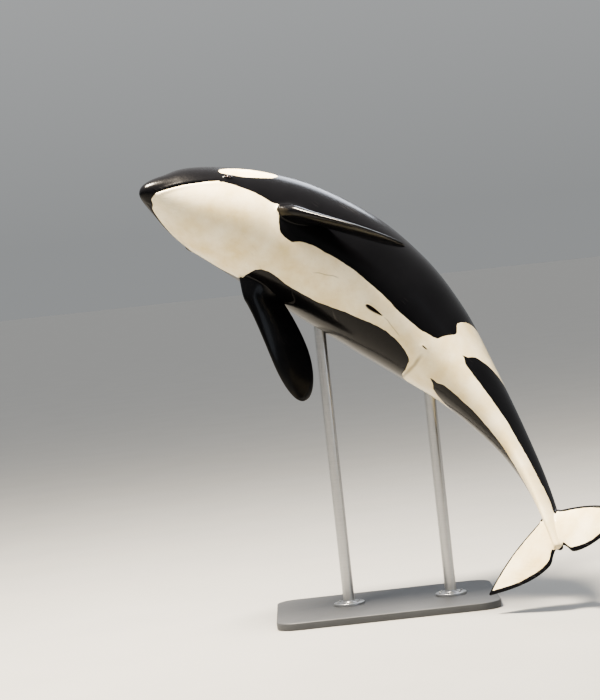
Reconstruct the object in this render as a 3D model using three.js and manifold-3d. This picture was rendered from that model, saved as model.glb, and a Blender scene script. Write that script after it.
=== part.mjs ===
// Orca, a still life-size model in a leaping pose, on a plain display stand.
// Millimetres, +Z up. The animal is lofted along a bent spine and parted by thin cuts.
import * as THREE from 'three';
import { mergeVertices } from 'three/addons/utils/BufferGeometryUtils.js';
import Module from 'manifold-3d';

const wasm = await Module();
wasm.setup();

// Driving dimensions of the animal
const bodyLength = 6700;      // snout tip to fluke notch
const gap = 0.3;              // air between neighbouring pieces
const cutStations = { head: 0.19, chest: 0.335, midriff: 0.51, loin: 0.67 };   // share of bodyLength

// Pose: the heading of the spine at one station, and how fast it bends along the body
const poseStation = 0.2315;
const spineHeading = 18.32;   // degrees, tailward run turned from +X towards +Y
const spineDip = 27.52;       // degrees, tailward run below level
const spineRoll = -58.78;     // degrees, belly turned towards -Y
const bellyBend = [[0.111, 1.424], [0.389, 2.300], [0.694, 0.842], [0.78, 1.8]];    // rad per body length
const sideBend = [[0.111, -0.086], [0.389, 0.866], [0.694, 0.577], [0.78, 1.1]];    // the same, to the right
const spineTwist = [[0.139, -0.409], [0.648, -0.798], [0.70, -0.798], [0.80, 1.2]]; // the same, about it

// Trunk sections: station, full width, full depth, and how far the back and belly draw in
// to a keel (0 is a plain ellipse)
const trunkTable = [
  [0.0000, 0, 0, 0],
  [0.0185, 332, 306, 0],
  [0.0463, 565, 532, 0],
  [0.0926, 832, 808, 0],
  [0.139, 1010, 1012, 0],
  [0.185, 1150, 1146, 0],
  [0.278, 1330, 1315, 0],
  [0.370, 1370, 1360, 0],
  [0.463, 1270, 1295, 0],
  [0.556, 1031, 1110, 0.02],
  [0.648, 700, 860, 0.08],
  [0.741, 435, 610, 0.18],
  [0.800, 305, 505, 0.28],
  [0.870, 205, 410, 0.34],
  [0.930, 145, 290, 0.30],
  [0.985, 80, 110, 0],
];
const trunkEnd = 0.985;
const trunkRings = 54;
const trunkSides = 32;

// Head
const gapeStation = 0.1093;
// mm below the spine, before the jaw's taper
const mouthDrop = { front: 88, fall: 42, beak: 70, beakReach: 0.013, hang: 26, hangReach: 0.042 };
const lip = { halfHeight: 34, halfThick: 24, sink: 15, steps: 26 };
const lipGroove = 8;
const eye = { station: 0.1215, angle: 80.5, radius: 27, sink: 13 };
const lid = { halfLength: 44, halfHeight: 25, tube: 9, steps: 18 };
const blowhole = { station: 0.111, angle: 176, radius: 58, arc: 150, halfWidth: 9, depth: 26 };

// Underside openings, all lens-shaped furrows on the midline
const genitalSlit = { station: 0.461, angle: 2, length: 240, halfWidth: 13, depth: 22 };
const ventSlit = { station: 0.575, angle: 0, length: 70, halfWidth: 9, depth: 14 };
const navel = { station: 0.385, angle: 0, length: 60, halfWidth: 14, depth: 9 };

// Flippers: one planform, each side set at its own root and angles (degrees); flex is how far
// the tip has bent out of the blade's plane
const flipper = {
  length: 1350, rootChord: 400, chord: 526, widest: 0.62, rootThick: 130, tipThick: 32, curve: 15,
};
const flipperSet = {
  left: { side: 1, station: 0.2335, angle: 48, sweep: 47.2, droop: 58.7, feather: -1, flex: -13 },
  right: { side: -1, station: 0.2334, angle: 44.4, sweep: 49.5, droop: 52.5, feather: 7.2, flex: 340 },
};

// Dorsal fin
const dorsal = {
  station: 0.447, height: 1150, halfBase: 470, tipAft: 500, tipChord: 120, thick: 112, tipThick: 30,
};

// Flukes
const fluke = {
  station: 0.955, halfSpan: 900, rootAhead: 265, notchAft: 210, tipAft: 330, bulge: 130,
  thick: 128, tipThick: 24, tipChord: 60, droop: 70,
};

// Stand
const base = { length: 2400, width: 1800, thick: 80, corner: 220, bevel: 12, shiftX: 2130, shiftY: 780 };
const tailClearance = 120;    // air between the lowest fluke edge and the base's top
const rod = { radius: 62, sides: 24 };
const foot = { radius: 170, thick: 30, round: 8, weld: 22 };
const rodStations = { front: 0.395, rear: 0.610 };

// Colours and finishes
const skinBlack = { color: 0x15171a, roughness: 0.28, metalness: 0 };
const skinWhite = { color: 0xe9e2d2, roughness: 0.35, metalness: 0 };
const eyeBrown = { color: 0x1d130d, roughness: 0.08, metalness: 0 };
const standPaint = { color: 0x2b2d30, roughness: 0.55, metalness: 0.1 };
const rodSteel = { color: 0x9a9da1, roughness: 0.35, metalness: 0.9 };

const radians = THREE.MathUtils.degToRad;

// Straight-line lookup in a short table of [station, value] pairs, held at its ends
function lookup(table, s) {
  if (s <= table[0][0]) return table[0][1];
  for (let i = 1; i < table.length; i += 1) {
    const [s0, v0] = table[i - 1];
    const [s1, v1] = table[i];
    if (s <= s1) return v0 + ((v1 - v0) * (s - s0)) / (s1 - s0);
  }
  return table[table.length - 1][1];
}

// Smooth curve through one column of the trunk table, over the root of the station,
// so that the snout closes round; slopes never overshoot
function smoothColumn(column) {
  const x = trunkTable.map((row) => Math.sqrt(row[0]));
  const y = trunkTable.map((row) => row[column]);
  const rise = x.slice(1).map((value, i) => (y[i + 1] - y[i]) / (value - x[i]));
  const slope = x.map((_, i) => {
    if (i === 0) return rise[0];
    if (i === x.length - 1) return rise[i - 1];
    return rise[i - 1] * rise[i] <= 0 ? 0 : (2 * rise[i - 1] * rise[i]) / (rise[i - 1] + rise[i]);
  });
  return (s) => {
    const at = Math.sqrt(THREE.MathUtils.clamp(s, 0, trunkEnd));
    let i = 0;
    while (i < x.length - 2 && at > x[i + 1]) i += 1;
    const width = x[i + 1] - x[i];
    const t = (at - x[i]) / width;
    const start = y[i] * (1 + 2 * t) * (1 - t) ** 2 + width * slope[i] * t * (1 - t) ** 2;
    const end = y[i + 1] * t * t * (3 - 2 * t) + width * slope[i + 1] * t * t * (t - 1);
    return start + end;
  };
}

const trunkWidth = smoothColumn(1);
const trunkDepth = smoothColumn(2);
const trunkKeel = smoothColumn(3);

// The spine: small steps from the pose station both ways, each turned by the local bend
function makeSpine() {
  const step = 0.0025;
  const first = -0.04;
  const count = Math.round((1.06 - first) / step);
  const home = Math.round((poseStation - first) / step);
  const start = new THREE.Quaternion()
    .setFromAxisAngle(new THREE.Vector3(0, 0, 1), radians(spineHeading))
    .multiply(new THREE.Quaternion().setFromAxisAngle(new THREE.Vector3(0, 1, 0), radians(spineDip)))
    .multiply(new THREE.Quaternion().setFromAxisAngle(new THREE.Vector3(1, 0, 0), radians(spineRoll)));
  const frameOf = (turn) => ({
    tail: new THREE.Vector3(1, 0, 0).applyQuaternion(turn),
    belly: new THREE.Vector3(0, 0, -1).applyQuaternion(turn),
    left: new THREE.Vector3(0, -1, 0).applyQuaternion(turn),
  });
  const turned = (turn, s, direction) => {
    const f = frameOf(turn);
    const spin = new THREE.Vector3()
      .addScaledVector(f.left, -lookup(bellyBend, s))
      .addScaledVector(f.belly, -lookup(sideBend, s))
      .addScaledVector(f.tail, lookup(spineTwist, s))
      .multiplyScalar(step * direction);
    const angle = spin.length();
    return new THREE.Quaternion().setFromAxisAngle(spin.normalize(), angle).multiply(turn);
  };
  const turns = new Array(count + 1);
  turns[home] = start;
  for (let i = home; i < count; i += 1) turns[i + 1] = turned(turns[i], first + step * (i + 0.5), 1);
  for (let i = home; i > 0; i -= 1) turns[i - 1] = turned(turns[i], first + step * (i - 0.5), -1);
  const frames = turns.map(frameOf);
  const points = [new THREE.Vector3()];
  for (let i = 1; i <= count; i += 1) {
    const run = frames[i].tail.clone().add(frames[i - 1].tail).multiplyScalar(0.5 * step * bodyLength);
    points.push(points[i - 1].clone().add(run));
  }
  const snout = points[Math.round(-first / step)].clone();
  points.forEach((point) => point.sub(snout));
  return (s) => {
    const at = THREE.MathUtils.clamp((s - first) / step, 0, count - 1e-6);
    const i = Math.floor(at);
    const t = at - i;
    return {
      centre: points[i].clone().lerp(points[i + 1], t),
      tail: frames[i].tail.clone().lerp(frames[i + 1].tail, t).normalize(),
      belly: frames[i].belly.clone().lerp(frames[i + 1].belly, t).normalize(),
      left: frames[i].left.clone().lerp(frames[i + 1].left, t).normalize(),
    };
  };
}

const spine = makeSpine();

// A point from its station, and distances towards the belly and the left
function placed(s, belly, left) {
  const f = spine(s);
  return f.centre.addScaledVector(f.belly, belly).addScaledVector(f.left, left);
}

// The gentle swellings of the head: the mound round each eye, and the brow over a faint beak
function swelling(s, angle) {
  const bump = (s0, reach, a0, spread) =>
    Math.exp(-(((s - s0) / reach) ** 2) - ((Math.abs(angle) - radians(a0)) / radians(spread)) ** 2);
  const eyeMound = 16 * bump(eye.station, 0.016, eye.angle, 13);
  const beakCrease = -14 * bump(0.039, 0.011, 180, 80);
  const melon = 22 * bump(0.070, 0.028, 180, 60);
  return eyeMound + beakCrease + melon;
}

// The lower jaw is slimmer than the beak above it, more so towards its tip
function jawTaper(s, angle) {
  return 1 - 0.30 * Math.exp(-((s / 0.06) ** 2)) * (0.5 + 0.5 * Math.cos(angle));
}

// A point of the trunk's surface; angle in radians from the belly, + towards the left
function skinPoint(s, angle, grow = 0) {
  const out = swelling(s, angle) + grow;
  const cos = Math.cos(angle);
  const sin = Math.sin(angle);
  const drawnIn = 1 - trunkKeel(s) * cos * cos;
  const taper = jawTaper(s, angle);
  const down = cos * (trunkDepth(s) * 0.5 * taper + out);
  return placed(s, down, sin * (trunkWidth(s) * 0.5 * taper * drawnIn + out));
}

// Outward direction of the trunk's surface
function skinNormal(s, angle) {
  const along = skinPoint(s + 0.004, angle).sub(skinPoint(s - 0.004, angle));
  const around = skinPoint(s, angle + 0.05).sub(skinPoint(s, angle - 0.05));
  return along.cross(around).normalize();
}

// A closed solid from rings of points, each end closed to its own tip point
function loft(rings, tips, mirrored = false) {
  const sides = rings[0].length;
  const positions = [];
  rings.flat().forEach((p) => positions.push(p.x, p.y, p.z));
  tips.forEach((p) => positions.push(p.x, p.y, p.z));
  const firstTip = rings.length * sides;
  const index = [];
  for (let i = 0; i < rings.length - 1; i += 1) {
    for (let j = 0; j < sides; j += 1) {
      const a = i * sides + j;
      const b = i * sides + ((j + 1) % sides);
      const c = a + sides;
      const d = b + sides;
      // on a thin fin both faces are split along the same lines
      if (mirrored && j >= sides / 2) index.push(a, b, c, b, d, c);
      else index.push(a, b, d, a, d, c);
    }
  }
  const last = (rings.length - 1) * sides;
  for (let j = 0; j < sides; j += 1) {
    const next = (j + 1) % sides;
    index.push(next, j, firstTip);
    index.push(last + j, last + next, firstTip + 1);
  }
  const geometry = new THREE.BufferGeometry();
  geometry.setAttribute('position', new THREE.Float32BufferAttribute(positions, 3));
  geometry.setIndex(index);
  return geometry;
}

// A three.js geometry as a manifold solid, turned outside out where its volume is negative
function solid(geometry) {
  const bare = geometry.clone();
  bare.deleteAttribute('normal');
  bare.deleteAttribute('uv');
  const merged = mergeVertices(bare, 1e-4);
  const place = merged.getAttribute('position');
  const tri = Uint32Array.from(merged.index.array);
  const corner = (i) => new THREE.Vector3().fromBufferAttribute(place, tri[i]);
  let volume = 0;
  for (let i = 0; i < tri.length; i += 3) volume += corner(i).dot(corner(i + 1).cross(corner(i + 2)));
  if (volume < 0) {
    for (let i = 0; i < tri.length; i += 3) [tri[i + 1], tri[i + 2]] = [tri[i + 2], tri[i + 1]];
  }
  const vertices = Float32Array.from(place.array);
  return new wasm.Manifold(new wasm.Mesh({ numProp: 3, vertProperties: vertices, triVerts: tri }));
}

// The largest closed surface of a solid, as a three.js geometry
function largest(body) {
  const parts = body.decompose().sort((a, b) => b.volume() - a.volume());
  const mesh = parts[0].getMesh();
  const geometry = new THREE.BufferGeometry();
  geometry.setAttribute('position', new THREE.BufferAttribute(Float32Array.from(mesh.vertProperties), 3));
  geometry.setIndex(new THREE.BufferAttribute(Uint32Array.from(mesh.triVerts), 1));
  return geometry;
}

// A solid as a named mesh; slivers that only hang on by a point are dropped on the way
function piece(name, body, finish) {
  const geometry = largest(solid(largest(body)));
  geometry.computeVertexNormals();
  const result = new THREE.Mesh(geometry, new THREE.MeshStandardMaterial(finish));
  result.name = name;
  return result;
}

// Trunk: rings close together on the snout and evenly spread behind it
function trunk(grow = 0) {
  const rings = [];
  for (let i = 1; i <= trunkRings; i += 1) {
    const t = i / trunkRings;
    const s = trunkEnd * (0.78 * t + 0.22 * t * t) * (1 - 0.55 * Math.exp(-t * 16));
    const ring = [];
    for (let j = 0; j < trunkSides; j += 1) ring.push(skinPoint(s, (j / trunkSides) * 2 * Math.PI, grow));
    rings.push(ring);
  }
  return loft(rings, [placed(-grow / bodyLength, 0, 0), placed(trunkEnd + grow / bodyLength, 0, 0)]);
}

// A flat-sided slab across the body at a station
function crossCut(s) {
  const f = spine(s);
  const slab = new THREE.BoxGeometry(gap, 1900, 1900);
  slab.applyMatrix4(new THREE.Matrix4().makeBasis(f.tail, f.belly, f.left).setPosition(f.centre));
  return solid(slab);
}

// Height of the mouth line below the spine; the upper lip hangs lower at the tip
function mouthLevel(s) {
  const { front, fall, beak, beakReach, hang, hangReach } = mouthDrop;
  const level = front + (fall * s) / gapeStation + beak * Math.exp(-((Math.max(s, 0) / beakReach) ** 3));
  return level + hang * Math.exp(-((s / hangReach) ** 2));
}

// The same height on the tapered jaw
function mouthHeight(s) {
  const cosine = Math.min(1, mouthLevel(s) / (trunkDepth(s) * 0.5 + 1e-6));
  return mouthLevel(s) * jawTaper(s, Math.acos(cosine));
}

// Everything below the mouth line and ahead of the gape, or a hair more
function jawBlock(grow) {
  const rings = [];
  const steps = 30;
  const reach = 1000;
  for (let i = 0; i <= steps; i += 1) {
    const s = -0.03 + ((gapeStation + grow / bodyLength + 0.03) * i) / steps;
    const top = mouthHeight(Math.max(s, 0)) - grow;
    rings.push([
      placed(s, top, -reach), placed(s, top, reach),
      placed(s, top + reach, reach), placed(s, top + reach, -reach),
    ]);
  }
  const middle = (ring) => ring.reduce((sum, p) => sum.add(p), new THREE.Vector3()).multiplyScalar(0.25);
  return solid(loft(rings, [middle(rings[0]), middle(rings[steps])]));
}

// Station at which the surface, seen at an angle round the snout, crosses the mouth line
function mouthStation(angle) {
  let near = 0.002;
  let far = gapeStation * 1.2;
  for (let i = 0; i < 40; i += 1) {
    const s = (near + far) / 2;
    if (Math.cos(angle) * trunkDepth(s) * 0.5 < mouthLevel(s)) near = s;
    else far = s;
  }
  return near;
}

// A tapering tube that follows the mouth line round the snout from gape to gape
function mouthTube(halfHeight, halfThick, sink, sides) {
  let gapeAngle = 0.2;
  while (mouthStation(gapeAngle) < gapeStation) gapeAngle += 0.002;
  const rings = [];
  for (let i = 0; i <= lip.steps; i += 1) {
    const t = (i / lip.steps) * 2 - 1;
    const angle = Math.sign(t) * Math.abs(t) ** 0.8 * gapeAngle;
    const s = mouthStation(Math.abs(angle));
    const out = skinNormal(s, angle);
    const up = spine(s).belly.clone();
    up.addScaledVector(out, -up.dot(out)).normalize();
    const size = Math.min(1, 0.25 + 5 * (1 - Math.abs(t)));
    const centre = skinPoint(s, angle).addScaledVector(out, -sink * size);
    const ring = [];
    for (let j = 0; j < sides; j += 1) {
      const turn = (j / sides) * 2 * Math.PI;
      ring.push(centre.clone()
        .addScaledVector(up, Math.cos(turn) * halfHeight * size)
        .addScaledVector(out, Math.sin(turn) * halfThick * size));
    }
    rings.push(ring);
  }
  const endTip = (ring) => ring.reduce((sum, p) => sum.add(p), new THREE.Vector3()).multiplyScalar(1 / sides);
  return solid(loft(rings, [endTip(rings[0]), endTip(rings[lip.steps])]));
}

// Eye: its middle sits just inside the skin
function eyeCentre(side) {
  const angle = radians(eye.angle) * side;
  return skinPoint(eye.station, angle).addScaledVector(skinNormal(eye.station, angle), -eye.sink);
}

function eyeBall(side, grow = 0) {
  const ball = new THREE.SphereGeometry(eye.radius + grow, 16, 10);
  const centre = eyeCentre(side);
  return solid(ball.translate(centre.x, centre.y, centre.z));
}

// Lids: one almond ring of flesh round the eye
function lidRing(side) {
  const angle = radians(eye.angle) * side;
  const out = skinNormal(eye.station, angle);
  const { tail } = spine(eye.station);
  const along = tail.clone().addScaledVector(out, -tail.dot(out)).normalize();
  const up = out.clone().cross(along);
  const middle = skinPoint(eye.station, angle);
  const sides = 6;
  const positions = [];
  const index = [];
  for (let i = 0; i < lid.steps; i += 1) {
    const turn = (i / lid.steps) * 2 * Math.PI;
    const away = along.clone().multiplyScalar(Math.cos(turn) * lid.halfLength)
      .addScaledVector(up, Math.sin(turn) * Math.abs(Math.sin(turn)) ** 0.25 * lid.halfHeight);
    const spoke = away.clone().normalize();
    for (let j = 0; j < sides; j += 1) {
      const round = (j / sides) * 2 * Math.PI;
      const p = middle.clone().add(away)
        .addScaledVector(spoke, Math.cos(round) * lid.tube)
        .addScaledVector(out, Math.sin(round) * lid.tube - 1);
      positions.push(p.x, p.y, p.z);
      const a = i * sides + j;
      const b = i * sides + ((j + 1) % sides);
      const c = ((i + 1) % lid.steps) * sides + j;
      const d = ((i + 1) % lid.steps) * sides + ((j + 1) % sides);
      index.push(a, b, d, a, d, c);
    }
  }
  const ring = new THREE.BufferGeometry();
  ring.setAttribute('position', new THREE.Float32BufferAttribute(positions, 3));
  ring.setIndex(index);
  return solid(ring);
}

// Blowhole: a crescent furrow on top of the head, its horns pointing forward
function blowholeCut() {
  const angle = radians(blowhole.angle);
  const out = skinNormal(blowhole.station, angle);
  const middle = skinPoint(blowhole.station, angle);
  const frame = spine(blowhole.station);
  const aft = frame.tail.clone().addScaledVector(out, -frame.tail.dot(out)).normalize();
  const across = out.clone().cross(aft);
  const steps = 14;
  const sides = 8;
  const rings = [];
  for (let i = 0; i <= steps; i += 1) {
    const t = (i / steps) * 2 - 1;
    const turn = t * radians(blowhole.arc) * 0.5;
    const size = 0.35 + 0.65 * Math.cos(t * Math.PI * 0.5);
    const spoke = aft.clone().multiplyScalar(Math.cos(turn)).addScaledVector(across, Math.sin(turn));
    const centre = middle.clone().addScaledVector(spoke, blowhole.radius)
      .addScaledVector(aft, -blowhole.radius * 0.7);
    const ring = [];
    for (let j = 0; j < sides; j += 1) {
      const round = (j / sides) * 2 * Math.PI;
      ring.push(centre.clone()
        .addScaledVector(spoke, Math.cos(round) * blowhole.halfWidth * size)
        .addScaledVector(out, Math.sin(round) * blowhole.depth * size));
    }
    rings.push(ring);
  }
  const tip = (ring) => ring.reduce((sum, p) => sum.add(p), new THREE.Vector3()).multiplyScalar(1 / sides);
  return solid(loft(rings, [tip(rings[0]), tip(rings[steps])]));
}

// A lens-shaped furrow along the belly
function furrow({ station, angle, length, halfWidth, depth }) {
  const steps = 12;
  const sides = 8;
  const turn = radians(angle);
  const rings = [];
  const at = (t) => station + (t * length) / (2 * bodyLength);
  for (let i = 1; i < steps; i += 1) {
    const t = (i / steps) * 2 - 1;
    const size = Math.sqrt(1 - t * t);
    const out = skinNormal(at(t), turn);
    const across = spine(at(t)).left.clone();
    const centre = skinPoint(at(t), turn);
    const ring = [];
    for (let j = 0; j < sides; j += 1) {
      const round = (j / sides) * 2 * Math.PI;
      ring.push(centre.clone()
        .addScaledVector(across, Math.cos(round) * halfWidth * size)
        .addScaledVector(out, Math.sin(round) * depth * size));
    }
    rings.push(ring);
  }
  return solid(loft(rings, [skinPoint(at(-1), turn), skinPoint(at(1), turn)]));
}

// One closed fin section: leading edge full, trailing edge thin, both faces alike
function finSection(centre, chordwise, thickwise, chord, thick, sides = 16) {
  const ring = [];
  for (let j = 0; j < sides; j += 1) {
    const turn = (j / sides) * 2 * Math.PI;
    const across = Math.sin(turn) * (1 + 0.35 * Math.cos(turn)) * thick * 0.5;
    ring.push(centre.clone()
      .addScaledVector(chordwise, -Math.cos(turn) * chord * 0.5)
      .addScaledVector(thickwise, across));
  }
  return ring;
}

// Flipper: a broad paddle, rooted low on the side
function flipperSolid({ side, station, angle, sweep, droop, feather, flex }) {
  const f = spine(station);
  const outward = f.left.clone().multiplyScalar(side);
  const lateral = outward.clone().multiplyScalar(Math.cos(radians(droop)))
    .addScaledVector(f.belly, Math.sin(radians(droop)));
  const face = f.belly.clone().multiplyScalar(Math.cos(radians(droop)))
    .addScaledVector(outward, -Math.sin(radians(droop)));
  const run = lateral.clone().multiplyScalar(Math.cos(radians(sweep)))
    .addScaledVector(f.tail, Math.sin(radians(sweep)));
  const levelChord = f.tail.clone().multiplyScalar(Math.cos(radians(sweep)))
    .addScaledVector(lateral, -Math.sin(radians(sweep)));
  const chordwise = levelChord.multiplyScalar(Math.cos(radians(feather)))
    .addScaledVector(face, -Math.sin(radians(feather)));
  const thickwise = run.clone().cross(chordwise);
  const root = skinPoint(station, radians(angle) * side);
  const steps = 15;
  const sunk = -0.16;
  const rings = [];
  const bent = side * flex;
  // inside the body the blade runs straight in, so its leading edge has a shoulder at the skin
  const centreAt = (a) => root.clone().addScaledVector(a < 0 ? lateral : run, a * flipper.length)
    .addScaledVector(chordwise, flipper.curve * Math.max(a, 0) ** 2)
    .addScaledVector(thickwise, bent * Math.max(a, 0) ** 2);
  const leaning = (a) => {
    const lean = Math.atan2(2 * bent * Math.max(a, 0), flipper.length);
    return thickwise.clone().multiplyScalar(Math.cos(lean)).addScaledVector(run, -Math.sin(lean));
  };
  for (let i = 0; i <= steps; i += 1) {
    const t = i / steps;
    const a = sunk + (0.994 - sunk) * (1 - (1 - t) ** 1.7);
    const swell = Math.sin(THREE.MathUtils.clamp(a / flipper.widest, 0, 1) * Math.PI * 0.5) ** 1.5;
    const tipward = Math.max(0, (a - flipper.widest) / (1 - flipper.widest));
    const rounding = Math.sqrt(1 - tipward ** 2);
    const chord = (flipper.rootChord + (flipper.chord - flipper.rootChord) * swell) * rounding;
    const flare = 50 * Math.exp(-Math.max(a, 0) * 14);
    const taper = flipper.rootThick + (flipper.tipThick - flipper.rootThick) * Math.max(a, 0) ** 0.8;
    const thick = (taper + flare) * Math.min(1, 0.3 + 1.6 * rounding);
    rings.push(finSection(centreAt(a), chordwise, leaning(a), chord + flare, thick));
  }
  return solid(loft(rings, [centreAt(sunk), centreAt(1)], true));
}

// Dorsal fin: tall, leaning back, leading edge rounded over to the tip
function dorsalSolid() {
  const f = spine(dorsal.station);
  const up = f.belly.clone().negate();
  const root = f.centre.clone().addScaledVector(up, trunkDepth(dorsal.station) * 0.5);
  const at = (aft, high) => root.clone().addScaledVector(f.tail, aft).addScaledVector(up, high);
  const steps = 14;
  const sunk = -0.14;
  const rings = [];
  for (let i = 0; i <= steps; i += 1) {
    const t = i / steps;
    const a = sunk + (0.996 - sunk) * (1 - (1 - t) ** 1.6);
    const b = Math.max(a, 0);
    const leadRun = dorsal.tipAft - dorsal.tipChord + dorsal.halfBase;
    const lead = -dorsal.halfBase + leadRun * (0.72 * b + 0.28 * b ** 3);
    const hollow = 105 * Math.sin(Math.PI * b ** 0.75);
    const trail = dorsal.halfBase + (dorsal.tipAft - dorsal.halfBase) * b - hollow;
    const close = Math.sqrt(1 - b ** 7);
    const chord = (trail - lead) * close;
    const flare = 46 * Math.exp(-b * 15);
    const thick = (dorsal.thick + (dorsal.tipThick - dorsal.thick) * b + flare) * (0.35 + 0.65 * close);
    rings.push(finSection(at((lead + trail) / 2, a * dorsal.height), f.tail, f.left, chord + flare, thick));
  }
  const tip = at(dorsal.tipAft - dorsal.tipChord / 2, dorsal.height);
  return solid(loft(rings, [at(0, sunk * dorsal.height), tip], true));
}

// Fluke: one half of the tail, from the midline to its tip
function flukeSolid(side) {
  const f = spine(fluke.station);
  const outward = f.left.clone().multiplyScalar(side);
  const up = f.belly.clone().negate();
  const at = (aft, out, high) => f.centre.clone().addScaledVector(f.tail, aft)
    .addScaledVector(outward, out).addScaledVector(up, high);
  const steps = 15;
  const rings = [];
  const edges = (b) => {
    const leadRun = fluke.tipAft - fluke.tipChord + fluke.rootAhead;
    const lead = -fluke.rootAhead + leadRun * (0.55 * b + 0.45 * b ** 2.6);
    const straight = fluke.notchAft + (fluke.tipAft - fluke.notchAft) * b;
    const trail = straight + fluke.bulge * Math.sin(Math.PI * b ** 0.7) * (1 - 0.35 * b);
    return [lead, trail];
  };
  for (let i = 0; i <= steps; i += 1) {
    const b = (1 - (1 - i / steps) ** 1.5) * 0.994;
    const [lead, trail] = edges(b);
    const chord = (trail - lead) * Math.sqrt(1 - b ** 9);
    const thick = fluke.thick + (fluke.tipThick - fluke.thick) * b ** 0.8;
    const centre = at((lead + trail) / 2, gap / 2 + b * fluke.halfSpan, -fluke.droop * b * b);
    rings.push(finSection(centre, f.tail, up, chord, thick));
  }
  const root = at((fluke.notchAft - fluke.rootAhead) / 2, gap / 2, 0);
  const tip = at(fluke.tipAft - fluke.tipChord / 2, gap / 2 + fluke.halfSpan, -fluke.droop);
  return solid(loft(rings, [root, tip], true));
}

// Stand: the base slab, and a rod with a foot flange under the trunk
function baseSolid(top) {
  const outline = new THREE.Shape();
  const x = base.length / 2 - base.corner;
  const y = base.width / 2 - base.corner;
  outline.absarc(x, y, base.corner, 0, Math.PI / 2);
  outline.absarc(-x, y, base.corner, Math.PI / 2, Math.PI);
  outline.absarc(-x, -y, base.corner, Math.PI, Math.PI * 1.5);
  outline.absarc(x, -y, base.corner, Math.PI * 1.5, Math.PI * 2);
  const slab = new THREE.ExtrudeGeometry(outline, {
    depth: base.thick - 2 * base.bevel, bevelEnabled: true, bevelThickness: base.bevel,
    bevelSize: base.bevel, bevelOffset: -base.bevel,
    bevelSegments: 1, curveSegments: 5,
  });
  slab.translate(base.shiftX, base.shiftY, top - base.thick + base.bevel);
  return solid(slab);
}

// A flange with a rounded rim and a weld shoulder, under the foot of a rod
function footSolid(station, baseTop) {
  const under = undersidePoint(station);
  const profile = [
    [0, 0], [foot.radius, 0], [foot.radius, foot.thick - foot.round], [foot.radius - foot.round, foot.thick],
    [rod.radius + foot.weld, foot.thick], [rod.radius, foot.thick + foot.weld], [0, foot.thick + foot.weld],
  ].map(([r, z]) => new THREE.Vector2(r, z));
  const turned = new THREE.LatheGeometry(profile, rod.sides).rotateX(Math.PI / 2);
  return solid(turned.translate(under.x, under.y, baseTop + gap));
}

// A round tube stand-in from its foot up into the trunk, which trims its top
function rodSolid(station, baseTop) {
  const under = undersidePoint(station);
  const bottom = baseTop + foot.thick + foot.weld + 2 * gap;
  const height = under.z + 400 - bottom;
  const turned = new THREE.CylinderGeometry(rod.radius, rod.radius, height, rod.sides).rotateX(Math.PI / 2);
  return solid(turned.translate(under.x, under.y, bottom + height / 2));
}

// The lowest point of the trunk's section at a station
function undersidePoint(station) {
  let lowest = skinPoint(station, 0);
  for (let degrees = -180; degrees < 180; degrees += 2) {
    const p = skinPoint(station, radians(degrees));
    if (p.z < lowest.z) lowest = p;
  }
  return lowest;
}

// Whole trunk with its lips, lids and openings, then parted into its lengths
const fullTrunk = solid(trunk());
const clearTrunk = solid(trunk(gap));
let body = fullTrunk
  .add(mouthTube(lip.halfHeight, lip.halfThick, lip.sink, 6))
  .add(lidRing(1))
  .add(lidRing(-1))
  .subtract(mouthTube(lipGroove, lipGroove * 2, -4, 6))
  .subtract(blowholeCut())
  .subtract(furrow(genitalSlit))
  .subtract(furrow(ventSlit))
  .subtract(furrow(navel))
  .subtract(eyeBall(1, gap))
  .subtract(eyeBall(-1, gap));
Object.values(cutStations).forEach((s) => {
  body = body.subtract(crossCut(s));
});

// The lengths in order from the snout, told apart by how far along the spine they lie
function stationOf(part) {
  const box = part.boundingBox();
  const middle = new THREE.Vector3(...box.min).add(new THREE.Vector3(...box.max)).multiplyScalar(0.5);
  let best = 0;
  let nearest = Infinity;
  for (let s = 0; s <= 1; s += 0.01) {
    const away = spine(s).centre.distanceTo(middle);
    if (away < nearest) {
      nearest = away;
      best = s;
    }
  }
  return best;
}

const lengths = body.decompose().filter((part) => part.volume() > 1e6)
  .sort((a, b) => stationOf(a) - stationOf(b));
const [headBlock, chest, midriff, loin, tailStock] = lengths;

const group = new THREE.Group();
const animal = [
  piece('head', headBlock.subtract(jawBlock(gap)), skinBlack),
  piece('lower_jaw', headBlock.intersect(jawBlock(0)), skinWhite),
  piece('chest', chest, skinBlack),
  piece('midriff', midriff, skinBlack),
  piece('loin', loin, skinBlack),
  piece('tail_stock', tailStock, skinBlack),
  piece('dorsal_fin', dorsalSolid().subtract(clearTrunk), skinBlack),
  piece('flipper_left', flipperSolid(flipperSet.left).subtract(clearTrunk), skinBlack),
  piece('flipper_right', flipperSolid(flipperSet.right).subtract(clearTrunk), skinBlack),
  piece('fluke_left', flukeSolid(1).subtract(clearTrunk), skinWhite),
  piece('fluke_right', flukeSolid(-1).subtract(clearTrunk), skinWhite),
  piece('eye_left', eyeBall(1), eyeBrown),
  piece('eye_right', eyeBall(-1), eyeBrown),
];
animal.forEach((mesh) => group.add(mesh));

// The base lies just below the lowest edge of the flukes
const lowestFlesh = new THREE.Box3().setFromObject(group).min.z;
const baseTop = lowestFlesh - tailClearance;
group.add(piece('stand_base', baseSolid(baseTop), standPaint));
Object.entries(rodStations).forEach(([place, station]) => {
  group.add(piece(`stand_foot_${place}`, footSolid(station, baseTop), rodSteel));
  group.add(piece(`stand_rod_${place}`, rodSolid(station, baseTop).subtract(clearTrunk), rodSteel));
});

// The origin is the middle of the whole part's box, at its underside
const whole = new THREE.Box3().setFromObject(group);
const middle = whole.getCenter(new THREE.Vector3());
group.position.set(-middle.x, -middle.y, -whole.min.z);

export default group;
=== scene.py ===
from math import atan2, copysign, cos, exp, hypot, inf, pi, radians, sin, sqrt, tau

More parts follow.
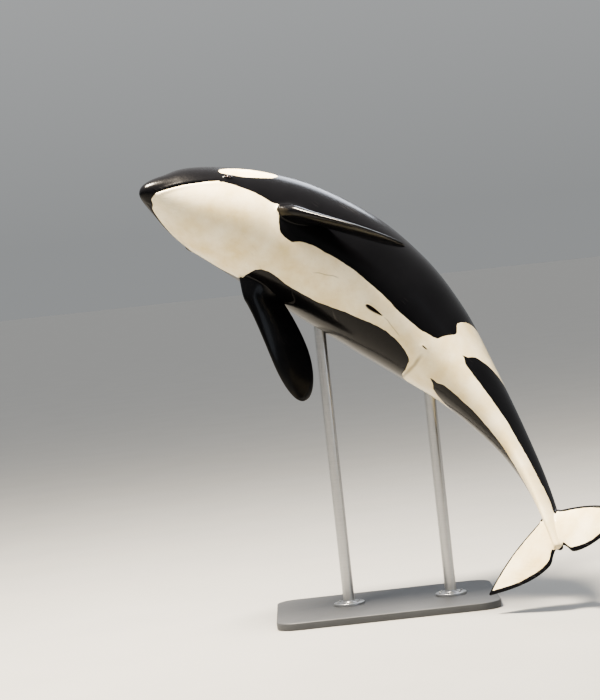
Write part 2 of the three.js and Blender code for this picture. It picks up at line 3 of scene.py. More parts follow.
import bmesh
import bpy
import numpy as np
from mathutils import Matrix, Quaternion, Vector


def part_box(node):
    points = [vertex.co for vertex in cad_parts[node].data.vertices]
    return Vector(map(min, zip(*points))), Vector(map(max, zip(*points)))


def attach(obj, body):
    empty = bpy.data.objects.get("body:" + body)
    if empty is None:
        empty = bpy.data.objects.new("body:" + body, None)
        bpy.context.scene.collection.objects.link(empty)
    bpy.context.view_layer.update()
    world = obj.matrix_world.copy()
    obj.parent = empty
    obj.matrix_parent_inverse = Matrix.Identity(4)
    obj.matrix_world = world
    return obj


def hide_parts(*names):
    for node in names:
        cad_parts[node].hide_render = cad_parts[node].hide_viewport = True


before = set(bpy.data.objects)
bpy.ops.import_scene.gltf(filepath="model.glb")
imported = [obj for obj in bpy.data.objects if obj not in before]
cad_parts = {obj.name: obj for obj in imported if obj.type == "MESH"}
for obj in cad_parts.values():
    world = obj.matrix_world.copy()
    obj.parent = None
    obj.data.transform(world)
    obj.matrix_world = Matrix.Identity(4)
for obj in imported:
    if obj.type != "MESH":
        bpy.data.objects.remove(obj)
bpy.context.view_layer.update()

# The spine
# A leaping orca bends towards its belly and a little to its right, and twists along its length.
# Every piece of flesh is set out from this line, with the same bends as the CAD model. A station,
# written s, is a share of the body's length, from 0 at the snout to 1 at the notch of the flukes.
body_length = 6.7
pose_station = 0.2315
heading, dip, roll = radians(18.32), radians(27.52), radians(-58.78)
# stations, and the bend or twist at them in radians per length of the body
belly_bend = ((0.111, 0.389, 0.694, 0.78), (1.424, 2.300, 0.842, 1.8))
side_bend = ((0.111, 0.389, 0.694, 0.78), (-0.086, 0.866, 0.577, 1.1))
spine_twist = ((0.139, 0.648, 0.70, 0.80), (-0.409, -0.798, -0.798, 1.2))
spine_first, spine_last, spine_step = -0.04, 1.06, 0.0025
spine_count = round((spine_last - spine_first) / spine_step)


def turned_frames():
    """The spine's directions at each step, turned on both ways from the pose's station."""
    home = round((pose_station - spine_first) / spine_step)
    start = Quaternion((0, 0, 1), heading) @ Quaternion((0, 1, 0), dip) @ Quaternion((1, 0, 0), roll)
    turns = {home: start}
    for direction, last in ((1, spine_count), (-1, 0)):
        for i in range(home, last, direction):
            s = spine_first + spine_step * (i + 0.5 * direction)
            turn = turns[i]
            spin = (turn @ Vector((0, 1, 0))) * np.interp(s, *belly_bend)
            spin += (turn @ Vector((0, 0, 1))) * np.interp(s, *side_bend)
            spin += (turn @ Vector((1, 0, 0))) * np.interp(s, *spine_twist)
            angle = spin.length * spine_step * direction
            turns[i + direction] = Quaternion(spin, angle) @ turn
    matrices = [turns[i].to_matrix() for i in range(spine_count + 1)]
    tail = np.array([m.col[0] for m in matrices])
    belly = np.array([-m.col[2] for m in matrices])
    left = np.array([-m.col[1] for m in matrices])
    return tail, belly, left


spine_tail, spine_belly, spine_left = turned_frames()
spine_stations = spine_first + spine_step * np.arange(spine_count + 1)
spine_steps = 0.5 * spine_step * body_length * (spine_tail[1:] + spine_tail[:-1])
spine_line = np.vstack([np.zeros(3), np.cumsum(spine_steps, axis=0)])
spine_line -= spine_line[round(-spine_first / spine_step)]


def along_spine(rows, s):
    return Vector([float(np.interp(s, spine_stations, rows[:, k])) for k in range(3)])


def spine(s):
    """Middle of the body at a station, and the directions to its tail, belly and left."""
    directions = [along_spine(rows, s).normalized() for rows in (spine_tail, spine_belly, spine_left)]
    return along_spine(spine_line, s), *directions


# The body's girth
# Full width and depth in millimetres along the body, and how far the back and belly draw in
# to a keel towards the tail. Blubber makes the trunk almost round; the tail stock is a blade.
trunk_end = 0.985
girth_table = np.array([
    # station, width, depth, keel
    [0.0000, 0, 0, 0],
    [0.0185, 332, 306, 0],
    [0.0463, 565, 532, 0],
    [0.0926, 832, 808, 0],
    [0.139, 1010, 1012, 0],
    [0.185, 1150, 1146, 0],
    [0.278, 1330, 1315, 0],
    [0.370, 1370, 1360, 0],
    [0.463, 1270, 1295, 0],
    [0.556, 1031, 1110, 0.02],
    [0.648, 700, 860, 0.08],
    [0.741, 435, 610, 0.18],
    [0.800, 305, 505, 0.28],
    [0.870, 205, 410, 0.34],
    [0.930, 145, 290, 0.30],
    [0.985, 80, 110, 0],
])
girth_table[:, 1:3] /= 1000
girth = dict(zip(("station", "width", "depth", "keel"), girth_table.T))
girth_roots = np.sqrt(girth["station"])


def girth_slopes(values):
    """Slopes at the table's rows for a smooth curve that doesn't swing past them."""
    rise = np.diff(values) / np.diff(girth_roots)
    both = rise[:-1] * rise[1:]
    inner = np.where(both > 0, 2 * both / (rise[:-1] + rise[1:] + 1e-12), 0)
    return np.concatenate([[rise[0]], inner, [rise[-1]]])


slopes = {name: girth_slopes(girth[name]) for name in ("width", "depth", "keel")}


def measure(name, s):
    """Width, depth or keel at a station. The curve runs over the station's root, for a round snout."""
    x, y, slope = girth_roots, girth[name], slopes[name]
    at = sqrt(min(max(s, 0), trunk_end))
    i = min(int(np.searchsorted(x, at, side="left")), len(x) - 1) - 1
    i = max(i, 0)
    gap = x[i + 1] - x[i]
    t = (at - x[i]) / gap
    start = y[i] * (1 + 2 * t) * (1 - t) ** 2 + gap * slope[i] * t * (1 - t) ** 2
    end = y[i + 1] * t * t * (3 - 2 * t) + gap * slope[i + 1] * t * t * (t - 1)
    return start + end


# The head's forms
# The mouth line runs back from under the beak to the gape, with soft lips on both sides of it.
# The eye sits on a low mound behind the gape, and the brow swells behind a faint crease of the
# beak. All are blubber and skin over the skull, so they run into each other softly.
gape = 0.1093
lip_fade = 0.012
eye_station, eye_angle = 0.1215, radians(80.5)
eye_radius, eye_sink = 0.027, 0.013


def mouth_level(s):
    """Height of the mouth line below the spine: it dips towards the snout, and again at its tip."""
    tip = 0.070 * exp(-((max(s, 0) / 0.013) ** 3))
    dip_forward = 0.026 * exp(-((s / 0.042) ** 2))
    return 0.088 + 0.042 * s / gape + tip + dip_forward


def jaw_taper(s, angle):
    """The lower jaw is slimmer than the beak above it, more so towards its tip."""
    return 1 - 0.30 * exp(-((s / 0.06) ** 2)) * (0.5 + 0.5 * cos(angle))


def bump(s, angle, s0, reach, a0, spread):
    """A soft hump of height 1 at a station and at an angle in degrees, alike on both sides."""
    return exp(-(((s - s0) / reach) ** 2) - ((abs(angle) - radians(a0)) / radians(spread)) ** 2)


def swelling(s, angle):
    """How far the head's broad forms stand out of the plain girth, in metres."""
    eye_mound = 0.016 * bump(s, angle, eye_station, 0.016, 80.5, 13)
    crease = -0.014 * bump(s, angle, 0.039, 0.011, 180, 80)
    brow = 0.022 * bump(s, angle, 0.070, 0.028, 180, 60)
    return eye_mound + crease + brow


def lips(s, angle):
    """Lips 6 mm proud, 22 mm to each side of a groove 12 mm deep; both are flatter at the snout."""
    if s > gape + lip_fade:
        return 0
    from_mouth = cos(angle) * measure("depth", s) / 2 - mouth_level(s)
    fade = min(1, max(0, (gape - s) / lip_fade + 0.35))
    front = exp(-((max(s, 0) / 0.024) ** 4))
    roll_out = 0.006 * (1 - front) * exp(-(((abs(from_mouth) - 0.022) / 0.018) ** 2))
    groove = -(0.012 - 0.007 * front) * exp(-((from_mouth / (0.006 + 0.008 * front)) ** 2))
    return fade * (roll_out + groove)


def skin_point(s, angle, fine=False):
    """A point of the trunk's surface in metres from the snout; the angle starts at the belly, + left."""
    middle, tail, belly, left = spine(s)
    out = swelling(s, angle) + (lips(s, angle) if fine else 0)
    drawn_in = 1 - measure("keel", s) * cos(angle) ** 2
    taper = jaw_taper(s, angle)
    down = cos(angle) * (measure("depth", s) / 2 * taper + out)
    across = sin(angle) * (measure("width", s) / 2 * taper * drawn_in + out)
    return middle + belly * down + left * across


def skin_slopes(s, angle):
    """How a point of the surface moves with its station, and with its angle."""
    ahead, aside = 0.004, 0.05
    along = (skin_point(s + ahead, angle) - skin_point(s - ahead, angle)) / (2 * ahead)
    around = (skin_point(s, angle + aside) - skin_point(s, angle - aside)) / (2 * aside)
    return along, around


def skin_axes(s, angle):
    """Directions along the body and round it, and out of it, at a point of the surface."""
    along, around = skin_slopes(s, angle)
    out = along.cross(around).normalized()
    return along.normalized(), out.cross(along.normalized()), out


def eye_middle(side):
    """Middle of an eyeball, sunk into its mound; side is 1 on the left and -1 on the right."""
    out = skin_axes(eye_station, eye_angle * side)[2]
    return skin_point(eye_station, eye_angle * side) - out * eye_sink


# the left eye of the CAD model tells where the snout lies in the shared frame
low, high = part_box("eye_left")
snout = (low + high) / 2 - eye_middle(1)

# The skin's main net
# One sheet of skin wraps the whole trunk. Its lines crowd together at the mouth and the snout,
# so that the lips stay crisp, and it closes along the back.
rings, columns = 170, 80
column_step = tau / columns
mouth_column = radians(72)
mouth_first = 0.0185


def station_of(t):
    """Station of the ring at a share t of the net's length."""
    even = trunk_end * (0.90 * t + 0.10 * t * t)
    return even * (1 - 0.72 * exp(-t * 17)) * (1 - exp(-t * 260) * 0.4)


def mouth_angle(s):
    s = min(max(s, mouth_first), gape)
    return np.arccos(min(0.95, mouth_level(s) / (measure("depth", s) / 2)))


def column_angle(s, even):
    """Where a column of the net runs: evenly on the trunk, drawn to the mouth line on the head."""
    hold = float(np.interp(s, (0.006, 0.02, 0.13, 0.18), (0, 1, 1, 0)))
    knots = mouth_column + np.array([-4, -1, 0, 1, 4]) * column_step
    drawn = mouth_angle(s) + np.array([-0.17, -0.024, 0, 0.024, 0.20])
    warped = np.interp(abs(even), [0, *knots, pi], [0, *drawn, pi])
    return (warped * hold + abs(even) * (1 - hold)) * (1 if even >= 0 else -1)


# each point keeps where it lies, for the markings, and how its ring started, for the fins
skin = bmesh.new()
layer = {name: skin.verts.layers.float.new(name) for name in (
    "station", "girth_angle", "sideways", "black_fin", "fluke", "margin", "upper_side", "inside",
    "ring_turn", "lean", "start_x", "start_y")}


def note_place(v, s, angle):
    angle = (angle + pi) % tau - pi
    v[layer["station"]], v[layer["girth_angle"]], v[layer["sideways"]] = s, abs(angle), sin(angle)


def noted_place(v):
    return v[layer["station"]], v[layer["girth_angle"]] * (1 if v[layer["sideways"]] >= 0 else -1)


bmesh.ops.create_grid(skin, x_segments=rings, y_segments=columns, size=0.5)
for v in skin.verts:
    s = station_of(v.co.x + 0.5)
    angle = column_angle(s, v.co.y * tau)
    note_place(v, s, angle)
    v.co = skin_point(s, angle, fine=True)
# the seam along the back and the snout's point are merged, and the tail's end is closed
bmesh.ops.remove_doubles(skin, verts=skin.verts, dist=0.0002)
bmesh.ops.holes_fill(skin, edges=[e for e in skin.edges if e.is_boundary], sides=0)


# Openings and roots
# Eyes, blowhole, slit and fins all start from an oval window cut in the net. Its rim is laid
# evenly round the oval on the skin, and rings are drawn out from it.
def walk_round(rim):
    """The rim's points, one after another round it."""
    edge = rim[0]
    v = edge.verts[0]
    points = []
    while v not in points:
        points.append(v)
        v = edge.other_vert(v)
        edge = next(e for e in v.link_edges if e.is_boundary and e != edge)
    return points


def skin_under(middle, x_axis, y_axis, x, y, s, angle):
    """Station and angle of the skin's point that lies x and y from a middle, sought from a guess."""
    for _ in range(4):
        away = skin_point(s, angle) - middle
        miss_x, miss_y = x - away.dot(x_axis), y - away.dot(y_axis)
        along, around = skin_slopes(s, angle)
        a, b, c, d = along.dot(x_axis), around.dot(x_axis), along.dot(y_axis), around.dot(y_axis)
        whole = a * d - b * c
        s += (miss_x * d - miss_y * b) / whole
        angle += (miss_y * a - miss_x * c) / whole
    return s, angle


def ease_net(points, rounds):
    """Evens out the net between a window and its surroundings, on the skin."""
    for _ in range(rounds):
        moves = []
        for v in points:
            s, angle = noted_place(v)
            mates = [noted_place(e.other_vert(v)) for e in v.link_edges]
            swing = sum((mate[1] - angle + pi) % tau - pi for mate in mates) / len(mates)
            moves.append((v, sum(mate[0] for mate in mates) / len(mates), angle + swing))
        for v, s, angle in moves:
            note_place(v, s, angle)
    for v in points:
        v.co = skin_point(*noted_place(v), fine=True)


def window(s, angle, x_axis, y_axis, half_x, half_y, rounds):
    """Cuts an oval window; each point of its rim keeps its turn round the oval."""
    middle = skin_point(s, angle)
    out = x_axis.cross(y_axis)

    def oval_size(place):
        """1 on the oval, less inside it, and endless on the body's other sides."""
        away = place - middle
        if abs(away.dot(out)) > 0.04 + 0.15 * half_x:
            return inf
        return hypot(away.dot(x_axis) / half_x, away.dot(y_axis) / half_y)

    inside = [f for f in skin.faces if oval_size(f.calc_center_median()) < 1]
    bmesh.ops.delete(skin, geom=inside, context="FACES")
    rim = [e for e in skin.edges if e.is_boundary]
    points = walk_round(rim)
    offsets = [v.co - middle for v in points]
    turns = np.unwrap([atan2(o.dot(y_axis) / half_y, o.dot(x_axis) / half_x) for o in offsets])
    step = copysign(tau / len(points), turns[-1] - turns[0])
    even = step * np.arange(len(points))
    even += np.mean(turns - even)
    # the rim's points go seven tenths of the way to even gaps
    for v, turn in zip(points, 0.3 * turns + 0.7 * even):
        x, y = half_x * cos(turn), half_y * sin(turn)
        place = skin_under(middle, x_axis, y_axis, x, y, *noted_place(v))
        note_place(v, *place)
        v.co = skin_point(*place, fine=True)
        v[layer["ring_turn"]] = turn
    near = [v for v in skin.verts if not v.is_boundary and 0.003 < v[layer["station"]] < 0.98
            and oval_size(v.co) < 1.8]
    ease_net(near, rounds)
    return rim


def next_ring(rim, place):
    """Draws one more ring out of a rim, and gives it back as the new rim."""
    made = bmesh.ops.extrude_edge_only(skin, edges=rim)["geom"]
    for v in made:
        if isinstance(v, bmesh.types.BMVert):
            place(v)
    return [e for e in made if isinstance(e, bmesh.types.BMEdge) and e.is_boundary]


def opening(s, angle, half_x, half_y, ring_sizes, arch=0, almond=0, pear=0, along_body=True, rounds=1):
    """A lipped opening: rings of half length, half height, rise out of the skin, and shade painted on the
    inside.

    Arch bends it to a crescent, almond points its ends, and pear widens its front end."""
    middle = skin_point(s, angle)
    x_axis, y_axis, out = skin_axes(s, angle)
    if not along_body:
        x_axis, y_axis = y_axis, -x_axis
    rim = window(s, angle, x_axis, y_axis, half_x, half_y, rounds)
    for half_long, half_high, rise, inner_painted_shade in ring_sizes:

        def place(v):
            turn = v[layer["ring_turn"]]
            x = half_long * cos(turn)
            y = half_high * sin(turn) * abs(sin(turn)) ** almond * (1 - pear * cos(turn))
            y += arch * (x * x - half_long ** 2 * 0.4)
            below = skin_under(middle, x_axis, y_axis, x, y, s, angle)
            note_place(v, *below)
            # how dark shade is painted on this ring, deep in the opening
            v[layer["inside"]] = inner_painted_shade
            v.co = skin_point(*below) + out * rise
        rim = next_ring(rim, place)
    bmesh.ops.edgeloop_fill(skin, edges=rim)


# Eyelids
# Thick folds of skin that bulge over the ball and close to an almond about 6 cm long. They are
# drawn out of the skin in rings and turn in again towards the ball, with shade painted darker as they go.
# each ring: half length, half height, rise, and how dark shade is painted on it
lid_rings = (
    (0.062, 0.041, 0.001, 0), (0.053, 0.033, 0.0035, 0), (0.046, 0.027, 0.0075, 0),
    (0.040, 0.0215, 0.0105, 0), (0.035, 0.0178, 0.0120, 0.2), (0.031, 0.0158, 0.0110, 0.7),
    (0.028, 0.0140, 0.004, 1), (0.021, 0.010, -0.006, 1))
for side in (1, -1):
    opening(eye_station, eye_angle * side, 0.075, 0.052, lid_rings, almond=0.20)

# Blowhole
# A single crescent about 12 cm wide on top of the head, its horns forward. Its lips are thick
# skin, and a plug of muscle presses it shut under water.
blowhole_rings = (
    (0.084, 0.040, 0.006, 0), (0.070, 0.022, 0.010, 0), (0.064, 0.013, 0.009, 0),
    (0.060, 0.007, 0.002, 0.5), (0.057, 0.0045, -0.014, 1), (0.052, 0.003, -0.024, 1))
opening(0.111, radians(178), 0.105, 0.066, blowhole_rings, arch=6.0, along_body=False, rounds=2)

# Genital slit and vent
# Two lipped slits on the midline of the belly; the front one is long, as on a male, and gapes
# a little at its front end.
slit_rings = (
    (0.132, 0.048, 0.002, 0), (0.122, 0.034, 0.008, 0), (0.114, 0.024, 0.009, 0),
    (0.106, 0.0165, -0.002, 0.8), (0.098, 0.013, -0.018, 1), (0.090, 0.009, -0.034, 1))
opening(0.460, radians(-0.5), 0.150, 0.070, slit_rings, pear=0.55, rounds=3)
vent_rings = (
    (0.046, 0.022, 0.003, 0), (0.040, 0.012, 0.005, 0), (0.036, 0.006, 0.001, 0.7),
    (0.032, 0.003, -0.012, 1))
opening(0.575, 0, 0.065, 0.050, vent_rings)


# Flippers
# Broad paddles of solid cartilage and bone in black skin, thick at the leading edge. They hang
# outwards and down from low on the sides, swept back.
flipper_length, flipper_widest = 1.35, 0.62
flipper_root_chord, flipper_chord = 0.400, 0.526
flipper_root_thick, flipper_tip_thick = 0.130, 0.032
front_heavy = 0.35


def fin_rim(s, angle, half_along, half_across, fin_axes):
    """Cuts a fin's root window and notes each rim point in the fin's own axes."""
    root, run, chordwise, thickwise = fin_axes
    along, around, _ = skin_axes(s, angle)
    y_axis = around * copysign(1, around.dot(thickwise))
    rim = window(s, angle, -along, y_axis, half_along, half_across, 5)
    for v in {v for e in rim for v in e.verts}:
        away = v.co - root
        v[layer["start_x"]], v[layer["start_y"]] = away.dot(chordwise), away.dot(thickwise)
        v[layer["lean"]] = away.dot(run)
    return rim


def fin_ring(v, fin_axes, reach, chord_middle, chord, thick, hold, bent=0, lean=0):
    """One point of a fin's ring; hold keeps some of the rim's own shape and slant at the root."""
    root, run, chordwise, thickwise = fin_axes
    turn = v[layer["ring_turn"]]
    x = (chord_middle - cos(turn) * chord / 2) * (1 - hold) + v[layer["start_x"]] * hold
    flat = sin(turn) * (1 + front_heavy * cos(turn)) * thick / 2
    y = (flat * cos(lean) + bent) * (1 - hold) + v[layer["start_y"]] * hold
    z = reach - flat * sin(lean) * (1 - hold) + v[layer["lean"]] * hold
    v.co = root + run * z + chordwise * x + thickwise * y


def fin_shares(steps, last, spread):
    """Shares of a fin's length for its rings, close together at the root and at the tip."""
    return [last * (1 - (1 - i / steps) ** spread) * (i / steps) ** 0.35 for i in range(1, steps + 1)]


def grow_flipper(side, station, angle, sweep, droop, feather, flex):
    """One flipper; feather turns its blade about its length, and flex is how far its tip bends over."""
    _, tail, belly, left = spine(station)
    outward = left * side
    lateral = outward * cos(droop) + belly * sin(droop)
    face = belly * cos(droop) - outward * sin(droop)
    run = lateral * cos(sweep) + tail * sin(sweep)
    level_chord = tail * cos(sweep) - lateral * sin(sweep)
    chordwise = level_chord * cos(feather) - face * sin(feather)
    thickwise = run.cross(chordwise)
    root = skin_point(station, angle * side)
    fin_axes = (root, run, chordwise, thickwise)
    rim = fin_rim(station + 0.010, angle * side, 0.235, 0.105, fin_axes)
    for a in fin_shares(28, 0.996, 1.5):
        swell = sin(min(a / flipper_widest, 1) * pi / 2) ** 1.5
        full = sqrt(1 - max(0, (a - flipper_widest) / (1 - flipper_widest)) ** 2)
        chord = (flipper_root_chord + (flipper_chord - flipper_root_chord) * swell) * full
        flare = 0.05 * exp(-a * 14)
        thick = flipper_root_thick + (flipper_tip_thick - flipper_root_thick) * a ** 0.8 + flare
        thick *= min(1, 0.3 + 1.6 * full)
        lean = atan2(2 * flex * side * a, flipper_length)

        def place(v):
            reach = 0.145 - 0.080 * cos(v[layer["ring_turn"]])
            hold = max(0, 1 - a / reach) ** 1.3
            v[layer["black_fin"]] = 1
            fin_ring(v, fin_axes, a * flipper_length, 0.015 * a * a, chord + flare, thick, hold,
                     flex * side * a * a, lean)
        rim = next_ring(rim, place)
    bmesh.ops.edgeloop_fill(skin, edges=rim)


grow_flipper(side=1, station=0.2335, angle=radians(48), sweep=radians(47.2), droop=radians(58.7),
             feather=radians(-1), flex=-0.013)
grow_flipper(side=-1, station=0.2334, angle=radians(44.4), sweep=radians(49.5), droop=radians(52.5),
             feather=radians(7.2), flex=0.340)


# Dorsal fin
# Stiff connective tissue with no bone, tall and leaning a little back, as on a young male. It
# grows out of the middle of the back with a flare all round its base, and thins to its tip.
def grow_dorsal():
    station, height, half_base, tip_aft, tip_chord = 0.447, 1.15, 0.47, 0.50, 0.12
    base_thick, tip_thick = 0.112, 0.030
    middle, tail, belly, left = spine(station)
    fin_axes = (middle - belly * measure("depth", station) / 2, -belly, tail, left)
    rim = fin_rim(station, pi, 0.52, 0.092, fin_axes)
    for a in fin_shares(24, 0.997, 1.5):
        lead = -half_base + (tip_aft - tip_chord + half_base) * (0.72 * a + 0.28 * a ** 3)
        trail = half_base + (tip_aft - half_base) * a - 0.105 * sin(pi * a ** 0.75)
        full = sqrt(1 - a ** 7)
        flare = 0.046 * exp(-a * 15)
        thick = (base_thick + (tip_thick - base_thick) * a + flare) * (0.35 + 0.65 * full)

        def place(v):
            v[layer["black_fin"]] = 1
            hold = max(0, 1 - a / 0.09) ** 1.4
            fin_ring(v, fin_axes, a * height, (lead + trail) / 2, (trail - lead) * full + flare, thick, hold)
        rim = next_ring(rim, place)
    bmesh.ops.edgeloop_fill(skin, edges=rim)


grow_dorsal()


# Flukes
# Two boneless blades of tough fibre that grow level from the sides of the tail stock and meet
# at the notch. Their tips droop a little, and a thin edge runs all round.
def grow_fluke(side):
    station, half_span, root_ahead, notch_aft, tip_aft = 0.955, 0.90, 0.265, 0.21, 0.33
    tip_chord, bulge, droop = 0.06, 0.13, 0.07
    first_share, last_share = 0.075, 0.995
    root_thick, tip_thick = 0.128, 0.024
    middle, tail, belly, left = spine(station)
    outward, up = left * side, -belly
    fin_axes = (middle, outward, tail, up)
    rim = fin_rim(0.948, side * pi / 2, 0.208, 0.056, fin_axes)
    for t in fin_shares(24, 1, 1.4):
        b = first_share + (last_share - first_share) * t
        lead = -root_ahead + (tip_aft - tip_chord + root_ahead) * (0.55 * b + 0.45 * b ** 2.6)
        trail = notch_aft + (tip_aft - notch_aft) * b + bulge * sin(pi * b ** 0.7) * (1 - 0.35 * b)
        chord = (trail - lead) * sqrt(1 - b ** 9)
        thick = root_thick + (tip_thick - root_thick) * b ** 0.8

        def place(v):
            turn = v[layer["ring_turn"]]
            hold = max(0, 1 - (b - 0.05) / 0.12) ** 2
            from_lead = chord * (1 - cos(turn)) / 2
            v[layer["fluke"]] = 1
            v[layer["upper_side"]] = sin(turn)
            v[layer["margin"]] = min(from_lead, chord - from_lead, (1 - b) * half_span)
            fin_ring(v, fin_axes, b * half_span, (lead + trail) / 2, chord, thick, hold, -droop * b * b)
        rim = next_ring(rim, place)
    bmesh.ops.edgeloop_fill(skin, edges=rim)


for side in (1, -1):
    grow_fluke(side)


# The skin made whole
# Trunk, lids, fins and flukes are one closed sheet now. It goes to its place in the shared
# frame, and its net is made twice as fine, so that every form is round.
def into_object(bm, name):
    """Closes off a bmesh as a smooth object of the scene."""
    for f in bm.faces:
        f.smooth = True
    mesh = bpy.data.meshes.new(name)
    bm.to_mesh(mesh)
    bm.free()
    made = bpy.data.objects.new(name, mesh)
    bpy.context.collection.objects.link(made)
    return made


bmesh.ops.translate(skin, verts=skin.verts, vec=snout)
bmesh.ops.recalc_face_normals(skin, faces=skin.faces)
orca_skin = into_object(skin, "orca_skin")
finer = orca_skin.modifiers.new("finer", "SUBSURF")
finer.levels = finer.render_levels = 1
bpy.context.view_layer.update()
finished_skin = orca_skin.evaluated_get(bpy.context.evaluated_depsgraph_get())
smooth_mesh = bpy.data.meshes.new_from_object(finished_skin)
orca_skin.modifiers.clear()
orca_skin.data = smooth_mesh


# Markings
# White is told by its distance in millimetres from the black, positive inside the white, worked
# out at each point from where it lies along and round the body. So are the painted shade lines along the
# folds, and the saddle.
def read(name):
    """What each point of the skin keeps under a name."""
    values = np.zeros(len(smooth_mesh.vertices), np.float32)
    smooth_mesh.attributes[name].data.foreach_get("value", values)
    return values


def write(name, values):
    """Gives each point of the skin a value for the material to read."""
    field = smooth_mesh.attributes.new(name, "FLOAT", "POINT")
    field.data.foreach_set("value", np.asarray(values, np.float32))


station, turn, sideways = read("station"), np.degrees(read("girth_angle")), read("sideways")
on_left = sideways > 0
station_marks = trunk_end * np.linspace(0, 1, 600) ** 2
half_width, half_depth = (
    np.interp(station, station_marks, [measure(name, s) * 500 for s in station_marks])
    for name in ("width", "depth"))
mm_per_degree = np.radians(1) * (half_width + half_depth) / 2

# throat, the waist between the flippers, and the belly band: stations, and the white's edge there
# in degrees from the midline; the two sides differ a little, as on a live animal
throat = ((0.1093, 71), (0.114, 71.5), (0.138, 67), (0.168, 61), (0.196, 54))
left_belly = (
    (0.207, 53), (0.2115, 48), (0.2155, 36), (0.224, 27), (0.236, 22.5), (0.252, 21), (0.265, 24),
    (0.294, 25), (0.325, 23.5), (0.360, 22), (0.398, 20), (0.436, 17.5), (0.468, 15), (0.498, 12.5))
right_belly = (
    (0.206, 53), (0.209, 46), (0.211, 33), (0.2165, 22), (0.225, 17.5), (0.240, 15.5), (0.255, 17),
    (0.273, 20), (0.300, 22), (0.358, 22.5), (0.385, 20), (0.412, 18), (0.436, 16.5), (0.461, 14.5),
    (0.483, 12.5), (0.503, 12), (0.523, 13), (0.541, 16), (0.554, 19), (0.565, 24), (0.572, 30))
left_loin = ((0.525, 12), (0.552, 13), (0.572, 17), (0.582, 22), (0.593, 30))
rear = (
    (0.630, 33), (0.640, 29), (0.670, 28), (0.720, 30), (0.800, 40), (0.870, 58), (0.930, 78),
    (0.985, 90))
left_edge = np.interp(station, *zip(*throat, *left_belly, *left_loin, *rear))
right_edge = np.interp(station, *zip(*throat, *right_belly, *rear))
band = (np.where(on_left, left_edge, right_edge) - turn) * mm_per_degree

# chin: white below the mouth line and behind the black tip of the jaw, with a rounded corner;
# on the right it starts a little lower and further back
level = np.interp(station, station_marks, [mouth_level(s) for s in station_marks])
below_mouth = np.cos(np.radians(turn)) * half_depth - level * 1000
rightward = np.clip(-2 * sideways, 0, 1)
rightward = rightward ** 2 * (3 - 2 * rightward)
below_mouth -= 30 * rightward * np.exp(-((station / 0.035) ** 2))
chin_front = (station - 0.0128 - 0.008 * rightward) * body_length * 1000
chin_round = 18
chin = -chin_round * np.log(np.exp(-below_mouth / chin_round) + np.exp(-chin_front / chin_round))
band = np.where(station < gape, chin, band)

# eye patch: a long oval behind and above the eye, its rear end a little higher
patch_station, patch_reach = 0.1595, 0.0487
patch_turn, patch_climb, patch_spread = 97.5, 62, 12.2
patch_square, patch_half_mm = 2.2, 120
patch_along = (station - patch_station) / patch_reach
patch_round = (turn - patch_turn - (station - patch_station) * patch_climb) / patch_spread
patch_size = np.abs(patch_along) ** patch_square + np.abs(patch_round) ** patch_square
eye_patch = (1 - patch_size ** (1 / patch_square)) * patch_half_mm

# flank lobe: a white finger that sweeps up and back from the belly band; its low and high edges
# are stations and degrees, and its front edges are degrees and stations
lobe_low = ((0.575, 0), (0.634, 40), (0.637, 50), (0.650, 61), (0.680, 84), (0.710, 104), (0.740, 117))
lobe_high = (
    (0.5765, 56), (0.5785, 63), (0.582, 72), (0.588, 84), (0.597, 95), (0.615, 105), (0.650, 112),
    (0.700, 117), (0.740, 118))
left_front = (
    (24, 0.5795), (34, 0.5850), (42, 0.5910), (46, 0.5910), (50, 0.5850), (54, 0.5790), (57, 0.5765))
right_front = ((15, 0.5760), (22, 0.5775), (30, 0.5785), (45, 0.5800), (60, 0.5765))
lobe_end, right_lobe_ahead = 0.742, 0.008
lobe_station = station + np.where(on_left, 0, right_lobe_ahead)
lobe_front = np.where(on_left, np.interp(turn, *zip(*left_front)), np.interp(turn, *zip(*right_front)))
above = (turn - np.interp(lobe_station, *zip(*lobe_low))) * mm_per_degree
under = (np.interp(lobe_station, *zip(*lobe_high)) - turn) * mm_per_degree
behind = (lobe_station - lobe_front) * body_length * 1000
ahead = (lobe_end - lobe_station) * body_length * 1000
lobe = np.minimum(np.minimum(above, under), np.minimum(behind, ahead))

# flukes: white below with a black rim 42 mm wide; flippers and dorsal fin: black all over
white = np.maximum(np.maximum(band, eye_patch), lobe)
on_fluke, margin, upper = read("fluke"), read("margin") * 1000, read("upper_side")
fluke_white = np.minimum(margin - 42, -upper * 160 - 8)
white = white * (1 - on_fluke) + fluke_white * on_fluke
write("white_mm", white - 500 * read("black_fin"))

# folds, each painted as a soft line of shade: distance in millimetres from a fold's line, and where
# it runs. The first crosses the right side in front of the lobe; its distances are cut to 0.6, so that it
# shows wider
signed_turn = np.where(sideways >= 0, turn, -turn)
fold_shade_station = np.interp(signed_turn, (-80, -46, -29, -8), (0.567, 0.5777, 0.5814, 0.5800))
fold_across = (station - fold_shade_station) * 4000
fold_shade_here = np.clip(np.minimum(signed_turn + 80, -6 - signed_turn) / 15, 0, 1)
# two more run lengthwise, behind the slit and at the navel; theirs are doubled, to show thinner
slit_fold = ((0.4800, -0.3), (0.4916, -1.4), (0.5057, -3.9), (0.530, -8))
navel_fold = ((0.313, 1.7), (0.326, 4.6), (0.340, 5.6), (0.354, 8), (0.367, 8.4))
for limit, line in ((0.545, slit_fold), (0.420, navel_fold)):
    stations, angles = zip(*line)
    across = 2 * (signed_turn - np.interp(station, stations, angles)) * mm_per_degree
    here = np.clip(np.minimum(station - stations[0], stations[-1] - station) / 0.010, 0, 0.8)
    fold_across = np.where(station < limit, across, fold_across)
    fold_shade_here = np.where(station < limit, here, fold_shade_here)
folds_end = 0.62
write("fold_across", fold_across)
write("fold_shade_here", np.where(station < folds_end, fold_shade_here, 0))

